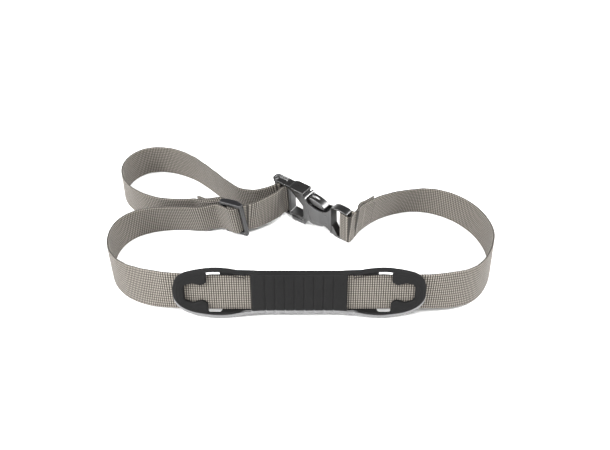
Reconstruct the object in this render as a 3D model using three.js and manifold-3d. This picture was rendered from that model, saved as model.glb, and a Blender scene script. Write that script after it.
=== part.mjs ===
// Optics carry strap: 25 mm webbing standing on its edge, with a slide-on grip pad,
// an adjuster (tri-glide) and a side-release buckle.
// Units are millimetres. +X runs along the pad, +Y away from the pad's front, +Z up.
import * as THREE from 'three';
import { mergeVertices } from 'three/addons/utils/BufferGeometryUtils.js';
import Module from 'manifold-3d';

const wasm = await Module();
wasm.setup();

// ---------------------------------------------------------------- driving dimensions

const WEB = { width: 25.4, thickness: 1.4, halfGap: 0.15, rest: 0.19 };   // one-inch webbing
const HALF_WEB = WEB.width / 2;
const FOOTPRINT_CENTRE = { x: -8.5, y: -12.0 };                   // of the layout used below

const PAD = {
  length: 159, midHeight: 29, bulgeTop: 19.2, bulgeBottom: 18.0,
  x: -3.5, y: -98.9, z: 17.8, lean: -8,
  frontInner: -1.1, frontOuter: -3.7, backInner: 1.1, backOuter: 2.6,
  midHalf: 27, backWallHalf: 49.5,
  window: { start: 30.2, step: 49.5, end: 57.8, wide: [-12.4, 13.6], hooks: [-13.8, 15.2] },
  neck: { end: 72.3, span: [-6.2, 8.0], radius: 5, lip: 1.3 },
  tunnelHalf: 13.0, ribPitch: 6.1, ribCount: 8, ribWidth: 1.1, ribDepth: 0.6,
};

const ADJUSTER = {
  x: -52.4, y: -13.3, z: 16.3, yaw: -25, lean: 13.5,
  bars: [-7.4, 0, 8.2], barRadius: 1.3, height: 31.8, slotHeight: 26.0, railDepth: 4.6, railBulge: 7.4,
};

const BUCKLE = {
  x: -22.5, y: 20.6, z: 18.9, yaw: -38, pitch: 3.6, lean: 8.5,
  halfWidth: 14.9, railInner: 13.0, tailThickness: 8, shoulderThickness: 10.6, shoulder: [19, 23],
  tailBar: [0.6, 4.4], middleBar: { u: 10, radius: 1.5 }, innerBar: [14.6, 16.6], base: [29.6, 31.4],
  tailBarThickness: 4.4, innerBarThickness: 6,
  window: { low: -10.8, corner: 1.4, high: 12.6 }, seamBulge: 3.6, seamGap: 0.6,
  tongue: { half: 3.4, thickness: 6, end: 46 },
  ringEnd: 35, ringOuter: 13.4, ringInner: 10.2, scoop: 6.4,
  plate: 1.6, cavityHalf: 4.1, web: [3.8, 4.6], bodyEnd: 56, bodyEndHalf: 9.6,
  tailEnd: 70.4, tailHalfWidth: 14.1, armThickness: 6.4, rearBar: [63.8, 69.4], rearBarThickness: 4.4,
};

const PRONG = { root: 31, inner: 7.4, outer: 9.8, lobe: 11.9, thickness: 7, end: 49.6, gap: 0.2 };

// ---------------------------------------------------------------- materials

const webbingMaterial = new THREE.MeshStandardMaterial({ color: 0x8f877c, roughness: 0.9, metalness: 0 });
const threadMaterial = new THREE.MeshStandardMaterial({ color: 0x7d766c, roughness: 0.8, metalness: 0 });
const padMaterial = new THREE.MeshStandardMaterial({ color: 0x2b2b2c, roughness: 0.75, metalness: 0 });
const glossMaterial = new THREE.MeshStandardMaterial({ color: 0x17181a, roughness: 0.35, metalness: 0 });
const satinMaterial = new THREE.MeshStandardMaterial({ color: 0x26262a, roughness: 0.45, metalness: 0 });

// ---------------------------------------------------------------- solids

const radians = THREE.MathUtils.degToRad;

function toSolid(geometry) {
  const bare = geometry.clone();
  bare.deleteAttribute('normal');
  bare.deleteAttribute('uv');
  const merged = mergeVertices(bare, 1e-4);
  return new wasm.Manifold(new wasm.Mesh({
    numProp: 3,
    vertProperties: new Float32Array(merged.attributes.position.array),
    triVerts: new Uint32Array(merged.index.array),
  }));
}

function toGeometry(solid) {
  const mesh = solid.getMesh();
  const geometry = new THREE.BufferGeometry();
  geometry.setAttribute('position', new THREE.BufferAttribute(mesh.vertProperties, 3));
  geometry.setIndex(new THREE.BufferAttribute(mesh.triVerts, 1));
  return geometry;
}

function combine(added, removed = []) {
  let solid = toSolid(added[0]);
  for (const geometry of added.slice(1)) solid = solid.add(toSolid(geometry));
  for (const geometry of removed) solid = solid.subtract(toSolid(geometry));
  return toGeometry(solid);
}

// A block given by its ranges along the three local axes.
function block([x0, x1], [y0, y1], [z0, z1]) {
  const geometry = new THREE.BoxGeometry(x1 - x0, y1 - y0, z1 - z0);
  return geometry.translate((x0 + x1) / 2, (y0 + y1) / 2, (z0 + z1) / 2);
}

// A rounded bar standing along Z, given by its ranges along X and Y.
function post([x0, x1], thickness, halfHeight, radius) {
  const shape = roundedRect(x0, x1, -thickness / 2, thickness / 2, radius);
  const geometry = new THREE.ExtrudeGeometry(shape, { depth: 2 * halfHeight, bevelEnabled: false, curveSegments: 3 });
  return geometry.translate(0, 0, -halfHeight);
}

// A flat outline drawn in X and Z, given thickness along Y from y0 to y1.
function slab(shape, y0, y1, curveSegments = 6) {
  const geometry = new THREE.ExtrudeGeometry(shape, { depth: y1 - y0, bevelEnabled: false, curveSegments });
  return geometry.rotateX(Math.PI / 2).translate(0, y1, 0);
}

function roundedRect(x0, x1, z0, z1, r) {
  const shape = new THREE.Shape();
  shape.moveTo(x0 + r, z0);
  shape.lineTo(x1 - r, z0);
  shape.absarc(x1 - r, z0 + r, r, -Math.PI / 2, 0);
  shape.lineTo(x1, z1 - r);
  shape.absarc(x1 - r, z1 - r, r, 0, Math.PI / 2);
  shape.lineTo(x0 + r, z1);
  shape.absarc(x0 + r, z1 - r, r, Math.PI / 2, Math.PI);
  shape.lineTo(x0, z0 + r);
  shape.absarc(x0 + r, z0 + r, r, Math.PI, 1.5 * Math.PI);
  return shape;
}

// ---------------------------------------------------------------- placed frames

function placedGroup({ x, y, z, yaw = 0, pitch = 0, lean = 0 }) {
  const group = new THREE.Group();
  group.position.set(x, y, z);
  group.rotation.set(radians(lean), radians(pitch), radians(yaw), 'ZYX');
  group.updateMatrixWorld(true);
  return group;
}

const assembly = new THREE.Group();
const padFrame = placedGroup(PAD);
const adjusterFrame = placedGroup(ADJUSTER);
const buckleFrame = placedGroup(BUCKLE);
const strapFrame = new THREE.Group();
assembly.add(padFrame, adjusterFrame, buckleFrame, strapFrame);
assembly.position.set(-FOOTPRINT_CENTRE.x, -FOOTPRINT_CENTRE.y, 0);

function addPart(frame, name, geometry, material) {
  const mesh = new THREE.Mesh(geometry, material);
  mesh.name = name;
  frame.add(mesh);
  return mesh;
}

// ---------------------------------------------------------------- webbing routes

// A station is the webbing's lower edge and the direction of its width.
// On the table it is written as x, y, height of the lower edge, and the lean
// of the upper edge towards +X and +Y in degrees.
function onTable([x, y, lift, leanX, leanY]) {
  const up = new THREE.Vector3(Math.tan(radians(leanX)), Math.tan(radians(leanY)), 1).normalize();
  return { foot: new THREE.Vector3(x, y, lift + WEB.rest), up };
}

// In a fitting, a station is a place along and across the fitting's own plane.
function inFrame(frame, along, depth) {
  const up = new THREE.Vector3(0, 0, 1).applyQuaternion(frame.quaternion);
  const middle = new THREE.Vector3(along, depth, 0).applyMatrix4(frame.matrix);
  return { foot: middle.addScaledVector(up, -HALF_WEB), up };
}

const inPad = ([along, depth]) => inFrame(padFrame, along, depth);
const inAdjuster = ([along, towardsFront]) => inFrame(adjusterFrame, along, -towardsFront);
const inBuckle = ([along, depth]) => inFrame(buckleFrame, along, depth);

class Route {
  constructor(stations) {
    this.stations = stations;
    this.curve = new THREE.CatmullRomCurve3(stations.map((s) => s.foot), false, 'centripetal');
    this.last = stations.length - 1;
  }

  // position counts stations: 2.5 is half way from the third to the fourth
  frameAt(position) {
    const t = position / this.last;
    const foot = this.curve.getPoint(t);
    const tangent = this.curve.getTangent(t);
    const index = Math.min(Math.floor(position), this.last - 1);
    const blend = THREE.MathUtils.smoothstep(position - index, 0, 1);
    const up = this.stations[index].up.clone().lerp(this.stations[index + 1].up, blend);
    up.addScaledVector(tangent, -up.dot(tangent)).normalize();
    const side = new THREE.Vector3().crossVectors(up, tangent);
    return { foot, up, side };
  }

  // The webbing's own solid between two positions, left short by the running gap at each end.
  ribbon(from, to, stepLength = 4) {
    const positions = [this.inset(from, 1)];
    for (let i = Math.floor(from); i < to; i += 1) {
      const a = Math.max(i, from);
      const b = Math.min(i + 1, to);
      const length = this.curve.getPoint(a / this.last).distanceTo(this.curve.getPoint(b / this.last));
      const steps = Math.max(1, Math.round(length / stepLength));
      for (let k = 1; k <= steps; k += 1) positions.push(a + ((b - a) * k) / steps);
    }
    positions[positions.length - 1] = this.inset(to, -1);
    return ribbonSolid(positions.map((position) => this.frameAt(position)));
  }

  inset(position, direction) {
    const probe = 0.02 * direction;
    const here = this.curve.getPoint(position / this.last);
    const there = this.curve.getPoint((position + probe) / this.last);
    return position + (probe * WEB.halfGap) / here.distanceTo(there);
  }
}

function ribbonSolid(frames) {
  const half = WEB.thickness / 2;
  const points = [];
  for (const { foot, up, side } of frames) {
    const head = foot.clone().addScaledVector(up, WEB.width);
    for (const [edge, offset] of [[foot, -half], [foot, half], [head, half], [head, -half]]) {
      points.push(...edge.clone().addScaledVector(side, offset).toArray());
    }
  }
  const index = [0, 2, 1, 0, 3, 2];
  const end = (frames.length - 1) * 4;
  index.push(end, end + 1, end + 2, end, end + 2, end + 3);
  for (let i = 0; i < frames.length - 1; i += 1) {
    for (let k = 0; k < 4; k += 1) {
      const a = i * 4 + k;
      const b = i * 4 + ((k + 1) % 4);
      index.push(a, b, b + 4, a, b + 4, a + 4);
    }
  }
  const geometry = new THREE.BufferGeometry();
  geometry.setAttribute('position', new THREE.Float32BufferAttribute(points, 3));
  geometry.setIndex(index);
  return geometry;
}

// From the right of the pad, leftwards through it, round the near loop, through the
// adjuster and round the buckle's middle bar, then back round the far loop to the
// adjuster's centre bar, where the end is folded back and sewn.
const longStations = [
  ...[[78, 0.3], [58, 0], [0, 0], [-62, 0]].map(inPad),
  ...[
    [-84, -99.6, 4.8, 0, 12], [-97, -96.4, 3.2, 2, 15], [-108.5, -90.6, 1.4, 2, 13], [-118.5, -83, 0.3, 2, 8],
    [-126.5, -73.5, 0, 1, 4], [-131.8, -62.5, 0, 0, 0], [-135, -50, 0, 0, -2], [-135.2, -37, 0, 0, -4],
    [-132.2, -25.5, 0, 0, -7], [-125.2, -15.8, 0, 0, -9], [-114.5, -9.6, 0, 0, -11], [-103, -7, 0, 0, -13],
    [-90, -7.2, 0.6, 0, -14], [-76, -9.4, 1.8, -1, -14],
  ].map(onTable),
  ...[[-11.5, 2.6], [-7.4, 2.6], [-3, 3.4], [0.4, 4.0], [3.2, 3.0], [4.8, 0.6], [5.8, -1.7], [8.2, -2.6], [12.2, -2.6]]
    .map(inAdjuster),
  ...[[-34.0, -7.4, 3.5, -3, -10], [-27.2, -1.4, 3.6, -3, -9], [-20.6, 4.4, 4.2, -3, -9]].map(onTable),
  ...[[12.0, -6.0], [12.9, -2.6], [12.8, -0.3], [12.0, 1.6], [10.6, 2.45], [9.2, 2.35], [7.9, 1.3], [7.5, -0.6], [6.6, -3.2]]
    .map(inBuckle),
  ...[
    [-27.5, 13.8, 3.2, -2, -10], [-37.5, 13.6, 1.6, -1, -12], [-48.5, 17.6, 1.0, 0, -14],
    [-60, 28, 1, 0, -13], [-70, 40.5, 0.4, 0, -12], [-80, 53, 0, 0, -10], [-91, 64.5, 0, 0, -7],
    [-102, 72.5, 0, 0, -4], [-113, 78, 0, 0, -3], [-124, 80.5, 0, 0, -4], [-134.5, 78.5, 0, 0, -5],
    [-142.5, 71, 0, 1, -5], [-147, 60.5, 0, 2, -4], [-148, 48, 0, 2, -3], [-145.2, 36, 0, 2, -4],
    [-139, 24.8, 0, 1, -6], [-129.5, 14.8, 0, 0, -8], [-118.5, 7.8, 0, 0, -9], [-107, 4.2, 0, 0, -11],
    [-94, 2.4, 0.6, 0, -12], [-81, 0.8, 1.6, -1, -12], [-71.5, -2.4, 2.8, -2, -12],
  ].map(onTable),
  ...[
    [-11, -2.9], [-7.2, -2.35], [-4.6, -1.9], [-3.0, -0.2], [-2.0, 1.2], [-0.8, 2.15], [0.8, 2.15], [2.05, 1.0],
    [2.05, -1.0], [0.8, -2.15], [-1.2, -2.7], [-4, -3.7], [-7.2, -4.3], [-11, -4.9],
  ].map(inAdjuster),
  ...[[-70.2, -0.4, 3, -2, -12], [-76, 2.2, 2.4, -1, -12]].map(onTable),
];

// From the right of the pad round to the buckle's rear bar, folded back and sewn.
const shortStations = [
  ...[[78, 0.3]].map(inPad),
  ...[
    [94, -97.6, 3.2, -2, 14], [107, -91.2, 1.2, -2, 13], [116, -82.4, 0.2, -2, 10],
    [123, -71, 0, -2, 7], [128, -58, 0, -1, 5], [130.8, -44, 0, 0, 1], [130.6, -30, 0, 0, -3],
    [127.5, -16, 0, 0, -4], [122, -4.5, 0, 0, -4], [114, 5.6, 0, 0, -6], [104, 13.2, 0, 0, -8],
    [93, 17.6, 0, 0, -11], [82, 18.2, 0, 0, -14], [71, 15.2, 0.2, 0, -15], [60, 8.8, 0.9, 0, -15],
    [50, 0.2, 1.5, -1, -14], [41.2, -10.2, 1.6, -2, -12],
  ].map(onTable),
  ...[[71.4, -3.7], [68.6, -3.3], [65.9, -3.2], [64.3, -2.8], [63.1, -1.6], [62.75, 0], [63.1, 1.6], [64.3, 2.8],
    [65.9, 3.2], [68.6, 3.3], [71.4, 3.6]]
    .map(inBuckle),
  ...[[41.4, -7.2, 1.9, -2, -12], [49.3, 2.2, 2.5, -1, -14]].map(onTable),
];

const longRoute = new Route(longStations);
const shortRoute = new Route(shortStations);

const stops = {
  padRun: [0, 4], nearLoop: [4, 15], adjusterRun: [15, 29], bight: [29, 40],
  farLoop: [40, 56], returnRun: [56, 59.3], adjusterEnd: [59.3, longRoute.last],
};
addPart(strapFrame, 'webbing_pad_run', longRoute.ribbon(...stops.padRun, 16), webbingMaterial);
addPart(strapFrame, 'webbing_near_loop', longRoute.ribbon(...stops.nearLoop), webbingMaterial);
addPart(strapFrame, 'webbing_adjuster_run', longRoute.ribbon(...stops.adjusterRun, 1.2), webbingMaterial);
addPart(strapFrame, 'webbing_buckle_bight', longRoute.ribbon(...stops.bight, 1), webbingMaterial);
addPart(strapFrame, 'webbing_far_loop', longRoute.ribbon(...stops.farLoop), webbingMaterial);
addPart(strapFrame, 'webbing_return_run', longRoute.ribbon(...stops.returnRun), webbingMaterial);
addPart(strapFrame, 'webbing_adjuster_end', longRoute.ribbon(...stops.adjusterEnd, 1), webbingMaterial);
addPart(strapFrame, 'webbing_right_arc', shortRoute.ribbon(0, 15), webbingMaterial);
addPart(strapFrame, 'webbing_buckle_end', shortRoute.ribbon(15, shortRoute.last, 1.2), webbingMaterial);

// ---------------------------------------------------------------- grip pad

// Widest a little way in from each end, where the hooks are, and narrower over the ribs.
function padOutline() {
  const { length, midHeight, bulgeTop, bulgeBottom, midHalf } = PAD;
  const end = length / 2;
  const mid = midHeight / 2;
  const topShares = [0.15, 0.38, 0.61, 0.79, 0.9, 0.975, 1, 0.965, 0.89];
  const bottomShares = [0.1, 0.3, 0.5, 0.7, 0.865, 0.96, 1, 0.965, 0.89];
  const quarter = (side, bulge) => [0, 0.6, 2.6, 6.5, 13, 21, 28, 36, 43]
    .map((inset, i) => new THREE.Vector2(side * (end - inset), bulge * (bulge > 0 ? topShares : bottomShares)[i]))
    .concat(new THREE.Vector2(side * (midHalf - 3), Math.sign(bulge) * mid));
  const shape = new THREE.Shape();
  const corners = [
    quarter(1, -bulgeBottom).reverse(), quarter(1, bulgeTop), quarter(-1, bulgeTop).reverse(),
    quarter(-1, -bulgeBottom),
  ];
  shape.moveTo(corners[0][0].x, corners[0][0].y);
  for (const [first, ...rest] of corners) {
    shape.lineTo(first.x, first.y);
    shape.splineThru(rest);
  }
  shape.closePath();
  return shape;
}

// One window: a wide part next to the ribbed middle, stepping out, then a narrow rounded neck.
function padWindow(sign) {
  const { start, step, end, wide: [low, high], hooks: [hookLow, hookHigh] } = PAD.window;
  const { end: neckEnd, span: [neckLow, neckHigh], radius, lip } = PAD.neck;
  const at = (x, z) => [sign * x, z];
  const shape = new THREE.Shape();
  shape.moveTo(...at(start, low));
  for (const [x, z] of [[step, low], [step + 1.4, hookLow], [end, hookLow], [end, neckLow]]) shape.lineTo(...at(x, z));
  shape.quadraticCurveTo(...at(end + 0.6, neckLow + lip), ...at(end + 3.4, neckLow + lip));
  shape.quadraticCurveTo(...at(end + 6, neckLow), ...at(neckEnd - radius, neckLow));
  shape.quadraticCurveTo(...at(neckEnd, neckLow), ...at(neckEnd, (neckLow + neckHigh) / 2));
  shape.quadraticCurveTo(...at(neckEnd, neckHigh), ...at(neckEnd - radius, neckHigh));
  shape.quadraticCurveTo(...at(end + 6, neckHigh), ...at(end + 3.4, neckHigh - lip));
  shape.quadraticCurveTo(...at(end + 0.6, neckHigh - lip), ...at(end, neckHigh));
  for (const [x, z] of [[end, hookHigh], [step + 1.4, hookHigh], [step, high], [start, high]]) {
    shape.lineTo(...at(x, z));
  }
  shape.closePath();
  return shape;
}

function gripPad() {
  const { frontInner, frontOuter, backInner, backOuter, backWallHalf, tunnelHalf, midHeight } = PAD;
  const { ribCount, ribPitch, ribWidth, ribDepth } = PAD;
  const front = slab(padOutline(), frontOuter, frontInner, 8);
  const edge = midHeight / 2;
  const rails = [1, -1].map((sign) => block(
    [-backWallHalf, backWallHalf],
    [frontInner - 0.2, backOuter],
    sign > 0 ? [tunnelHalf, edge] : [-edge, -tunnelHalf],
  ));
  const back = block([-backWallHalf, backWallHalf], [backInner, backOuter], [-edge, edge]);
  const windows = [1, -1].map((sign) => slab(padWindow(sign), frontOuter - 1, frontInner + 0.01, 5));
  const grooves = Array.from({ length: ribCount }, (_, i) => {
    const x = (i - (ribCount - 1) / 2) * ribPitch;
    return block([x - ribWidth / 2, x + ribWidth / 2], [frontOuter - 1, frontOuter + ribDepth], [-edge - 1, edge + 1]);
  });
  return combine([front, ...rails, back], [...windows, ...grooves]);
}
addPart(padFrame, 'grip_pad', gripPad(), padMaterial);

// ---------------------------------------------------------------- adjuster (tri-glide)

function adjuster() {
  const { bars, barRadius, height, slotHeight, railDepth, railBulge } = ADJUSTER;
  const start = bars[0] - barRadius;
  const end = bars[2] + barRadius;
  const half = railDepth / 2;
  const rail = new THREE.Shape();
  rail.moveTo(start, -half);
  rail.lineTo(end, -half);
  rail.lineTo(end, half);
  rail.quadraticCurveTo((start + end) / 2, railBulge - half, start, half);
  rail.closePath();
  const railHeight = (height - slotHeight) / 2;
  const rails = [slotHeight / 2, -height / 2].map((low) => (
    new THREE.ExtrudeGeometry(rail, { depth: railHeight, bevelEnabled: false, curveSegments: 8 }).translate(0, 0, low)
  ));
  const posts = bars.map((along) => (
    new THREE.CylinderGeometry(barRadius, barRadius, slotHeight + 1, 12).rotateX(Math.PI / 2).translate(along, 0, 0)
  ));
  return combine([...rails, ...posts]);
}
addPart(adjusterFrame, 'adjuster', adjuster(), satinMaterial);

// ---------------------------------------------------------------- buckle, male half

// The line where the two halves meet: straight at the edges, bulging towards the female half between.
function seamCurve(shape, half, offset, sign) {
  const { base, seamBulge } = BUCKLE;
  const u = base[1] + offset;
  shape.lineTo(u, sign * half);
  shape.bezierCurveTo(u + seamBulge * 1.3, sign * half * 0.5, u + seamBulge * 1.3, -sign * half * 0.5, u, -sign * half);
}

// The male half's front end: a plate with one large window, square below and cut across above.
function windowPlate() {
  const { innerBar, base, halfWidth, window: { low, corner, high } } = BUCKLE;
  const shape = new THREE.Shape();
  shape.moveTo(innerBar[1] - 0.6, halfWidth);
  shape.lineTo(innerBar[1] - 0.6, -halfWidth);
  seamCurve(shape, halfWidth, 0, -1);
  shape.closePath();
  const cut = new THREE.Path();
  cut.moveTo(innerBar[1], low);
  cut.lineTo(base[0] - 1.2, low);
  cut.lineTo(base[0], low + 1.8);
  cut.lineTo(base[0], corner);
  cut.lineTo(innerBar[1] + 1.2, high);
  cut.lineTo(innerBar[1], high);
  cut.closePath();
  shape.holes.push(cut);
  return shape;
}

// Clearance in the male half's front edge for a prong's root.
function prongSlot(sign) {
  const { root, inner, outer, thickness, gap } = PRONG;
  const across = [inner - gap, outer + gap].map((v) => sign * v).sort((a, b) => a - b);
  return block([root - gap, root + 6], [-thickness / 2 - gap, thickness / 2 + gap], across);
}

function buckleMale() {
  const { halfWidth, railInner, tailThickness, shoulderThickness, shoulder, base, tongue } = BUCKLE;
  const { tailBar, middleBar, innerBar, tailBarThickness, innerBarThickness } = BUCKLE;
  const reach = railInner + 0.5;
  const middleSpan = [middleBar.u - middleBar.radius, middleBar.u + middleBar.radius];
  const [slim, full] = [tailThickness / 2, shoulderThickness / 2];
  const half = [[0, slim * 0.64], [2.2, slim], [shoulder[0], slim], [shoulder[1], full], [base[1], full]];
  const side = new THREE.Shape([
    ...half.map(([u, y]) => new THREE.Vector2(u, y)),
    ...half.toReversed().map(([u, y]) => new THREE.Vector2(u, -y)),
  ]);
  const rail = () => new THREE.ExtrudeGeometry(side, { depth: halfWidth - railInner, bevelEnabled: false });
  return combine([
    rail().translate(0, 0, railInner),
    rail().translate(0, 0, -halfWidth),
    post(tailBar, tailBarThickness, reach, 1.2),
    post(middleSpan, 2 * middleBar.radius, reach, middleBar.radius - 0.05),
    post(innerBar, innerBarThickness, reach, 0.9),
    slab(windowPlate(), -slim, slim, 6),
    block([base[1] - 0.5, tongue.end], [-tongue.thickness / 2, tongue.thickness / 2], [-tongue.half, tongue.half]),
  ], [prongSlot(1), prongSlot(-1)]);
}
addPart(buckleFrame, 'buckle_male', buckleMale(), glossMaterial);

// One spring prong: a slim arm that widens, behind the mouth ring, into a thumb lobe.
function prong(sign) {
  const { root, inner, outer, lobe, thickness, end } = PRONG;
  const { ringEnd } = BUCKLE;
  const shape = new THREE.Shape();
  shape.moveTo(root, sign * inner);
  shape.bezierCurveTo(root + 8, sign * inner, root + 12, sign * (inner - 0.6), end - 1.5, sign * (inner - 0.5));
  shape.quadraticCurveTo(end, sign * (inner - 0.2), end, sign * (inner + 1.2));
  shape.bezierCurveTo(end - 3, sign * (lobe - 0.6), end - 9, sign * lobe, ringEnd + 0.5, sign * lobe);
  shape.lineTo(ringEnd + 0.3, sign * outer);
  shape.lineTo(root, sign * outer);
  shape.closePath();
  return slab(shape, -thickness / 2, thickness / 2, 6);
}
addPart(buckleFrame, 'buckle_prong_upper', combine([prong(1)]), glossMaterial);
addPart(buckleFrame, 'buckle_prong_lower', combine([prong(-1)]), glossMaterial);

// ---------------------------------------------------------------- buckle, female half

// Front and back plate: an arched mouth, a scoop for the thumb on each side, and a squared-off end.
function scoopedPlate() {
  const { seamGap, ringEnd, ringOuter, scoop, bodyEnd, bodyEndHalf } = BUCKLE;
  const shape = new THREE.Shape();
  const scoopOut = (sign) => {
    shape.lineTo(ringEnd - 1.6, sign * ringOuter);
    shape.bezierCurveTo(ringEnd + 0.6, sign * 9.5, ringEnd + 3, sign * scoop, ringEnd + 7, sign * scoop);
    shape.bezierCurveTo(ringEnd + 13, sign * scoop, bodyEnd - 7, sign * 10, bodyEnd - 4, sign * bodyEndHalf);
    shape.lineTo(bodyEnd, sign * bodyEndHalf);
  };
  const scoopBack = (sign) => {
    shape.lineTo(bodyEnd - 4, sign * bodyEndHalf);
    shape.bezierCurveTo(bodyEnd - 7, sign * 10, ringEnd + 13, sign * scoop, ringEnd + 7, sign * scoop);
    shape.bezierCurveTo(ringEnd + 3, sign * scoop, ringEnd + 0.6, sign * 9.5, ringEnd - 1.6, sign * ringOuter);
  };
  shape.moveTo(BUCKLE.base[1] + seamGap, -ringOuter);
  scoopOut(-1);
  shape.lineTo(bodyEnd, bodyEndHalf);
  scoopBack(1);
  seamCurve(shape, ringOuter, seamGap, 1);
  return shape;
}

function buckleFemale() {
  const { plate, cavityHalf, base, seamGap, ringEnd, ringInner, ringOuter, web, bodyEnd, bodyEndHalf } = BUCKLE;
  const { tailEnd, tailHalfWidth, armThickness, rearBar, rearBarThickness, railInner } = BUCKLE;
  const outer = cavityHalf + plate;
  const solids = [slab(scoopedPlate(), -outer, -cavityHalf), slab(scoopedPlate(), cavityHalf, outer)];
  const through = [-outer + 0.2, outer - 0.2];
  for (const sign of [1, -1]) {
    const span = (a, b) => (sign > 0 ? [a, b] : [-b, -a]);
    solids.push(block([base[1] + seamGap + 1.6, ringEnd - 0.2], through, span(ringInner, ringOuter - 0.6)));
    solids.push(block([ringEnd + 4, bodyEnd - 4], through, span(...web)));
    const arm = post([bodyEnd - 4, tailEnd], armThickness, (tailHalfWidth - railInner) / 2, 2.6);
    solids.push(arm.translate(0, 0, (sign * (tailHalfWidth + railInner)) / 2));
  }
  const cross = [bodyEnd - 4, bodyEnd];
  solids.push(block(cross, through, [-bodyEndHalf, bodyEndHalf]));
  solids.push(block(cross, [-armThickness / 2, armThickness / 2], [-railInner - 0.5, railInner + 0.5]));
  solids.push(post(rearBar, rearBarThickness, railInner + 0.5, 2.1));
  return combine(solids);
}
addPart(buckleFrame, 'buckle_female', buckleFemale(), glossMaterial);

// ---------------------------------------------------------------- stitching

// A bar of stitches across the webbing, lying just off one of its faces.
function stitchBar(route, position, sideways) {
  const { foot, up, side } = route.frameAt(position);
  const along = new THREE.Vector3().crossVectors(side, up);
  const middle = foot.clone().addScaledVector(up, HALF_WEB).addScaledVector(side, sideways);
  const matrix = new THREE.Matrix4().makeBasis(along, side, up).setPosition(middle);
  return new THREE.BoxGeometry(2.2, 0.4, WEB.width - 4).applyMatrix4(matrix);
}
const stitchOffset = WEB.thickness / 2 + 0.45;
addPart(strapFrame, 'stitching_adjuster', stitchBar(longRoute, 60.6, -stitchOffset), threadMaterial);
addPart(strapFrame, 'stitching_buckle', stitchBar(shortRoute, 16.4, stitchOffset), threadMaterial);

export default assembly;
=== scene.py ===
"""Looks for the optics carry strap: woven webbing, rubber pad, adjuster and side-release buckle.

Shapes are worked out in millimetres, in each fitting's own plane (x along it, y towards its back,
z up), and placed in the row frame in metres.
"""

import math

import bmesh
import bpy
import numpy as np
from mathutils import Euler, Matrix, Vector


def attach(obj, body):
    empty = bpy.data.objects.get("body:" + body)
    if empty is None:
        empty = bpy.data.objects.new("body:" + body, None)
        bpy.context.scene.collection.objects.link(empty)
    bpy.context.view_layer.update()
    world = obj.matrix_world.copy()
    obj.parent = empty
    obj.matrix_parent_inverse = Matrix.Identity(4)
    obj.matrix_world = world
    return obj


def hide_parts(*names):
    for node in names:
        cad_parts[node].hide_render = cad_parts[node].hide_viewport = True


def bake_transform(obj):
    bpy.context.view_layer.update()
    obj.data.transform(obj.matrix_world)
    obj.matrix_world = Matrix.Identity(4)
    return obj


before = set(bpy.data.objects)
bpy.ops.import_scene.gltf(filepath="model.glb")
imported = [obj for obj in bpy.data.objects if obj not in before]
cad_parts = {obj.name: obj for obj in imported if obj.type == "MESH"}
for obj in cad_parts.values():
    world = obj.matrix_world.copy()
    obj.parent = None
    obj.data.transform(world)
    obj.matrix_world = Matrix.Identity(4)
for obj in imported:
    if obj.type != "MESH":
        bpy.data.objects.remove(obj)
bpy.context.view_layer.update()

MM = 0.001
CENTRE = Vector((-8.5, -12.0, 0.0))                # of the layout that the stations are written in


def placed(x, y, z, yaw=0.0, pitch=0.0, lean=0.0):
    turn = Euler((math.radians(lean), math.radians(pitch), math.radians(yaw)), "XYZ")
    return Matrix.Translation(Vector((x, y, z)) - CENTRE) @ turn.to_matrix().to_4x4()


PAD = placed(-3.5, -98.9, 17.8, lean=-8)
ADJUSTER = placed(-52.4, -13.3, 16.3, yaw=-25, lean=13.5)
BUCKLE = placed(-22.5, 20.6, 18.9, yaw=-38, pitch=3.6, lean=8.5)

# ---------------------------------------------------------------- webbing routes

WIDTH = 25.4
HALF_THICKNESS = 0.7
REST = 0.19                                        # every lower edge is this much above its lift
WEAVE_PITCH = 1.45
WEAVE_ROWS = 15
ROW = WIDTH / WEAVE_ROWS


def on_table(x, y, lift, lean_x, lean_y):
    up = Vector((math.tan(math.radians(lean_x)), math.tan(math.radians(lean_y)), 1.0)).normalized()
    return Vector((x, y, lift + REST)) - CENTRE, up


def in_fitting(matrix, along, depth):
    up = matrix.col[2].to_3d()
    return matrix @ Vector((along, depth, 0.0)) - up * (WIDTH / 2), up


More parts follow.
